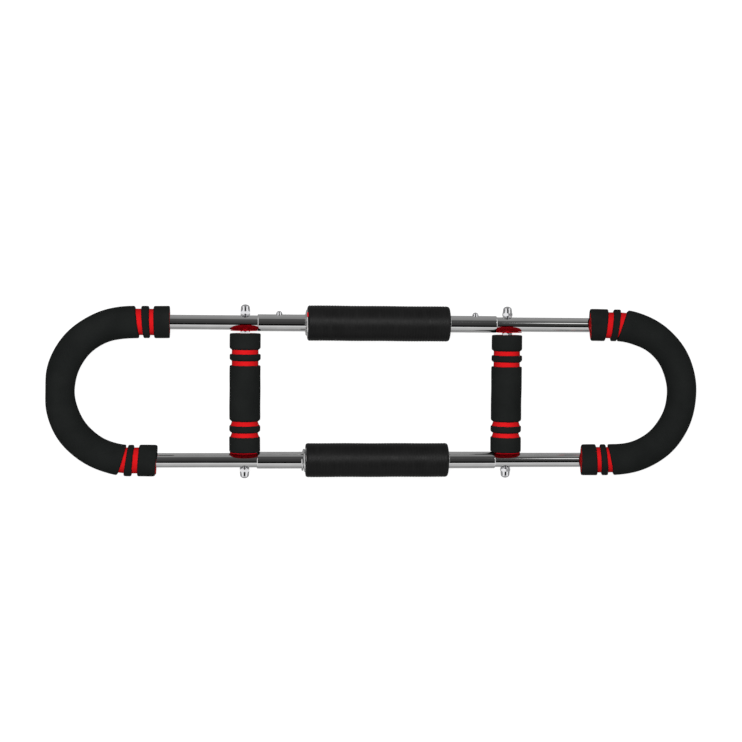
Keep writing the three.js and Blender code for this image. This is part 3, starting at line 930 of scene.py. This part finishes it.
def spacer_disc(side, rod):
    """A thin red foam disc, cut flat on the side of the socket's mouth, and squeezed up round the leg."""
    sign, line = RODS[rod], stud_line(side)
    low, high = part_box(f"{side}_spacer_disc_{rod}")
    flat = STUD_AT[side] - min(abs(low.x), abs(high.x))
    base, top = sign * DISC_FROM, sign * DISC_TO
    edge, bore = DISC_ROUNDING, STUD_RADIUS + THREAD_CLEARANCE
    boss = sign * (HALF_SPACING - TUBE_RADIUS / 2)
    corners = [(base, bore, edge), (base, DISC_RADIUS, edge), (top, DISC_RADIUS, edge), (top, BOSS_RADIUS)]
    corners += [(boss, BOSS_RADIUS - edge), (boss, bore)]

    def swell(distance, angle, radius):
        towards_socket = -SIDES[side] * math.cos(angle)
        wavy = radius + DISC_WAVE * math.sin(5 * angle + sign) if radius > flat else radius
        return min(wavy, flat / towards_socket) if towards_socket > 0.1 else wavy

    vertices, faces = turned(line, rounded(corners), 96, swell)
    for vertex in vertices:  # the middle stops at the leg's round surface
        up = min(abs(vertex[2] - AXIS_HEIGHT), BOSS_RADIUS)
        leg = HALF_SPACING - math.sqrt((TUBE_RADIUS + HOLE_CLEARANCE) ** 2 - up**2)
        vertex[1] = sign * min(abs(vertex[1]), leg)
    node, shape = f"{side}_spacer_disc_{rod}", (vertices, faces)
    # The disc's red foam is painted darker, as painted shade where it faces the tube
    disc = piece(f"{node}_foam", shape, SHADED_RED_FOAM, f"{side}_frame", [node])


THREAD_PITCH, THREAD_DEPTH, THREADED_LENGTH = 0.00125, 0.0006, 0.036
STUD_CHAMFER = 0.0008


def stud(side):
    """Threaded at both ends, plain in the middle. The threads are rings, not a helix."""
    profile = [(-STUD_END, 0, 0), (-STUD_END, STUD_RADIUS - STUD_CHAMFER, 0)]
    turns = int(THREADED_LENGTH / THREAD_PITCH)
    for sign in (-1, 1):
        for i in range(turns)[::-sign]:  # inwards from one end, outwards to the other
            crest = sign * (STUD_END - STUD_CHAMFER - i * THREAD_PITCH)
            profile.append((crest, STUD_RADIUS, 0))
            profile.append((crest + THREAD_PITCH / 2, STUD_RADIUS - THREAD_DEPTH, 0))
    profile += [(STUD_END, STUD_RADIUS - STUD_CHAMFER, 0), (STUD_END, 0, 0)]
    shape = turned(stud_line(side), profile, 32)
    zinc_piece(f"{side}_grip_stud_thread", shape, f"{side}_frame", f"{side}_grip_stud")


BUSH_CLEARANCE = 0.0002  # on the stud; half as much in the tube


def turning_core(side):
    """The steel tube inside a hand grip, and its two nylon bushes."""
    body, line = f"{side}_hand_grip", stud_line(side)
    profile = ring_profile(-CORE_TUBE_END, CORE_TUBE_END, CORE_TUBE_BORE, TUBE_RADIUS, 0.0004, 0.0004)
    node = f"{side}_grip_core_tube"
    chrome_piece(f"{node}_steel", turned(line, profile, 64), body, node)
    inner, outer = STUD_RADIUS + BUSH_CLEARANCE, CORE_TUBE_BORE - BUSH_CLEARANCE / 2
    for rod, sign in RODS.items():
        profile = ring_profile(sign * BUSH_FROM, sign * CORE_TUBE_END, inner, outer, 0.0003, 0.0004)
        node = f"{side}_grip_bush_{rod}"
        piece(f"{node}_nylon", turned(line, profile, 64), NYLON, body, [node])


FLANGE_THICKNESS = 0.0013
BUTTON_DOME_HEIGHT = 0.0042


def snap_button(side):
    """A domed pin on a flange that stops it inside the tube."""
    flange_end, flange = BUTTON_BASE + FLANGE_THICKNESS, BUTTON_RADIUS + BUTTON_FLANGE
    profile = [(BUTTON_BASE, 0, 0), (BUTTON_BASE, flange, 0)]
    profile += [(flange_end, flange, 0), (flange_end, BUTTON_RADIUS, 0)]
    profile += dome(BUTTON_TIP, BUTTON_DOME_HEIGHT, BUTTON_RADIUS, 8)
    shape = turned(cross_line(SIDES[side] * BUTTON_AT), profile, 48)
    zinc_piece(f"{side}_snap_button_pin", shape, f"{side}_button", f"{side}_snap_button")


STRIP_THICKNESS = 0.0008
STRIP_BEND_RADIUS = 0.0016  # of its centre line
STRIP_OPENING = 0.004  # how much shorter the upper leg is


def button_strip(side):
    """The bent leaf behind a button, with an upper and a lower leg."""
    sign, node = SIDES[side], f"{side}_button_spring"
    low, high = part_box(node)
    bend_end, open_end = (low.x, high.x) if sign > 0 else (high.x, low.x)
    half, half_width = STRIP_THICKNESS / 2, (high.z - low.z) / 2
    upper, lower = high.y - half, low.y + half
    turn_x, turn_y = bend_end + sign * (STRIP_BEND_RADIUS + half), (upper + lower) / 2
    turn = []
    for angle in (math.pi * step / 12 for step in range(13)):
        around = np.array((-sign * math.sin(angle), math.cos(angle)))
        turn.append(np.array((turn_x, turn_y)) + STRIP_BEND_RADIUS * around)
    upper_end, lower_end = np.array((open_end - sign * STRIP_OPENING, upper)), np.array((open_end, lower))
    along_leg = np.linspace(0, 1, 9)[:-1, None]
    upper_leg = upper_end + (turn[0] - upper_end) * along_leg
    lower_leg = turn[-1] + (lower_end - turn[-1]) * along_leg
    path = [*upper_leg, *turn[:-1], *lower_leg, lower_end]
    rings = []
    for i, point in enumerate(path):
        along = path[min(i + 1, len(path) - 1)] - path[max(i - 1, 0)]
        aside = half * np.array((-along[1], along[0])) / np.linalg.norm(along)
        ring = [(point + a * aside, b * half_width) for a, b in ((1, 1), (1, -1), (-1, -1), (-1, 1))]
        rings.append(np.array([(*flat, AXIS_HEIGHT + rise) for flat, rise in ring]))
    shape = skin(rings, loop=False)
    leaf = piece(f"{side}_button_leaf", shape, SPRING_STEEL, None, [node])
    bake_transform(leaf)


# ---- Camera, light and floor ----

YAW, PITCH, ROLL = (math.radians(a) for a in (5.53, 3.1, 0.556))
CAMERA_DISTANCE = 2.1385
FOCAL_LENGTH, SENSOR_WIDTH = 74.0, 36.0  # millimetres
LOOK_AT = Vector((-0.0090, 0.0294, AXIS_HEIGHT))


def add_camera():
    """Nearly straight above the object, a little to its left and towards the back rod."""
    data = bpy.data.cameras.new("camera")
    data.sensor_width = SENSOR_WIDTH
    data.lens = FOCAL_LENGTH
    data.clip_start, data.clip_end = 0.05, 50.0
    camera = in_scene("camera", data)
    back = Vector((-math.sin(YAW) * math.cos(PITCH), math.sin(PITCH), math.cos(YAW) * math.cos(PITCH)))
    right = Vector((0, 1, 0)).cross(back).normalized()
    axes = Matrix((right, back.cross(right), back)).transposed()
    turn = axes.to_4x4() @ Matrix.Rotation(ROLL, 4, "Z")
    camera.matrix_world = Matrix.Translation(LOOK_AT + back * CAMERA_DISTANCE) @ turn
    bpy.context.scene.camera = camera


SKY = (  # angle from straight up towards the back rod, in degrees, and brightness
    (-180, 0.30), (-112, 0.30), (-108, 0.40), (-91, 0.40), (-89, 0.50), (-56, 0.50), (-53, 0.70), (-39, 0.70),
    (-37, 0.0), (-19, 0.0), (-14, 0.04), (10, 0.05), (30, 0.075), (53, 0.075), (60, 0.25), (90, 0.28),
    (116, 0.24), (180, 0.2),
)
# Where a direction leans this far along the rods, from and to, the sky fades to this brightness.
END_X, END_SKY = (0.33, 0.45), 0.95
OUTLINE_X, OUTLINE_SKY = (0.91, 0.95), 0.03
STRIP_AT = (17.0, 35.0)  # a narrow light over the right-hand end, from and to angle
STRIP_CORE = 0.4  # of its half width is at full brightness
STRIP_X = (0.190, 0.21)  # how far towards +X a direction leans before it sees the strip
DIFFUSE_SKY = 0.07  # the sky's brightness as a light on dull surfaces


class Sky(Shader):
    """Nodes for the world, made with the same short calls as a material's."""

    def __init__(self):
        world = bpy.data.worlds.new("studio")
        bpy.context.scene.world = world
        world.use_nodes = True
        self.tree = world.node_tree
        self.tree.nodes.clear()
        self.place = self.add("ShaderNodeTexCoord").outputs["Generated"]


def add_sky():
    """A studio in bands across the rods: dark overhead, bright towards the front, grey at the back."""
    s = Sky()
    x, y, z = s.add("ShaderNodeSeparateXYZ", Vector=s.place).outputs
    angle = s.math("ARCTAN2", y, z)
    ramp = s.add("ShaderNodeValToRGB", Fac=s.between(angle, 0, 1, -math.pi, math.pi))
    stops = ramp.color_ramp.elements
    for i, (degrees, value) in enumerate(SKY):
        at = (degrees + 180) / 360
        stop = stops[i] if i < 2 else stops.new(at)
        stop.position = at
        stop.color = grey(value)
    low, high = (math.radians(a) for a in STRIP_AT)
    middle_angle, half_width = (low + high) / 2, (high - low) / 2
    off_strip = s.math("ABSOLUTE", s.math("SUBTRACT", angle, middle_angle))
    across_strip = s.between(off_strip, 1, 0, half_width * STRIP_CORE, half_width)
    on_strip = s.math("MULTIPLY", across_strip, s.between(x, 0, 1, *STRIP_X))
    bands = s.mix(on_strip, ramp.outputs["Color"], grey(1.0))
    endwise = s.math("ABSOLUTE", x)
    bright_ends = s.mix(s.between(endwise, 0, 1, *END_X), bands, grey(END_SKY))
    sky = s.mix(s.between(endwise, 0, 1, *OUTLINE_X), bright_ends, grey(OUTLINE_SKY))
    rays = s.add("ShaderNodeLightPath")
    dimmed = s.mix(rays.outputs["Is Diffuse Ray"], sky, grey(DIFFUSE_SKY))
    shown = s.mix(rays.outputs["Is Camera Ray"], dimmed, grey(1.0))
    background = s.add("ShaderNodeBackground", Color=shown)
    s.add("ShaderNodeOutputWorld", Surface=background.outputs[0])


def add_soft_light(name, place, size, power, lit=None):
    """A soft area light aimed at the object's middle. It lights all pieces, or only the listed ones."""
    data = bpy.data.lights.new(name, "AREA")
    data.shape = "RECTANGLE"
    data.size, data.size_y = size
    data.energy = power
    light = in_scene(name, data)
    light.location = place
    light.rotation_euler = (-Vector(place)).to_track_quat("-Z", "Y").to_euler()
    light.visible_glossy = lit is not None
    if lit is not None:
        receivers = bpy.data.collections.new(f"{name}_receivers")
        for obj in lit:
            receivers.objects.link(obj)
        light.light_linking.receiver_collection = receivers


FLOOR_DROP = 0.0010  # the floor lies this far down, clear of the thicker sleeve
FLOOR_REACH = 12.0  # from the middle to each edge
FLOOR_TO_THE_EYE = 0.93  # glow, besides what the lights give it
FLOOR_IN_REFLECTIONS = 0.31
FLOOR_BOUNCE = 0.06


def add_floor():
    """A wide pale floor, almost without shadow, and greyer in reflections than to the eye."""
    mesh = bpy.data.meshes.new("floor")
    sides = ((-1, -1), (1, -1), (1, 1), (-1, 1))
    corners = [(x * FLOOR_REACH, y * FLOOR_REACH, -FLOOR_DROP) for x, y in sides]
    mesh.from_pydata(corners, [], [(0, 1, 2, 3)])
    floor = in_scene("floor", mesh)
    s = Shader("pale_floor")
    cloud = s.noise(2.0, detail=3.0)
    s.finish(Base_Color=s.mix(cloud, grey(0.20), grey(0.23)), Roughness=0.9, Specular_IOR_Level=0.0)
    rays = s.add("ShaderNodeLightPath")
    glow = s.add("ShaderNodeEmission", Color=grey(1.0), Strength=FLOOR_TO_THE_EYE)
    to_the_eye = s.add("ShaderNodeAddShader")
    s.set(to_the_eye.inputs[0], s.surface.outputs[0])
    s.set(to_the_eye.inputs[1], glow.outputs[0])
    dim = s.mix(rays.outputs["Is Diffuse Ray"], grey(FLOOR_IN_REFLECTIONS), grey(FLOOR_BOUNCE))
    otherwise = s.add("ShaderNodeEmission", Color=dim, Strength=1.0)
    shown = s.add("ShaderNodeMixShader", Fac=rays.outputs["Is Camera Ray"])
    s.set(shown.inputs[1], otherwise.outputs[0])
    s.set(shown.inputs[2], to_the_eye.outputs[0])
    s.set(s.tree.nodes["Material Output"].inputs["Surface"], shown.outputs[0])
    mesh.materials.append(s.material)


# ---- The scene ----

add_camera()
bpy.context.scene.view_settings.view_transform = "Standard"
add_sky()
add_soft_light("overhead", place=(-0.3, 0.4, 2.2), size=(1.6, 1.0), power=40)
add_floor()

for side_name in SIDES:
    u_tube(side_name)
    u_grip(side_name)
    hand_grip(side_name)
    turning_core(side_name)
    stud(side_name)
    snap_button(side_name)
    button_strip(side_name)
    for rod_name in RODS:
        socket(side_name, rod_name)
        jam_nut(side_name, rod_name)
        acorn_nut(side_name, rod_name)
        washer(side_name, rod_name)
        spacer_disc(side_name, rod_name)
        bent_stretches(rod_name, side_name)
        sleeve_and_spring_end(rod_name, side_name)
red_shim("back")
sleeves = [obj for obj in bpy.context.scene.objects if "sleeve" in obj.name]
add_soft_light("over_sleeves", place=(0.0, 0.55, 1.6), size=(1.6, 0.5), power=19, lit=sleeves)
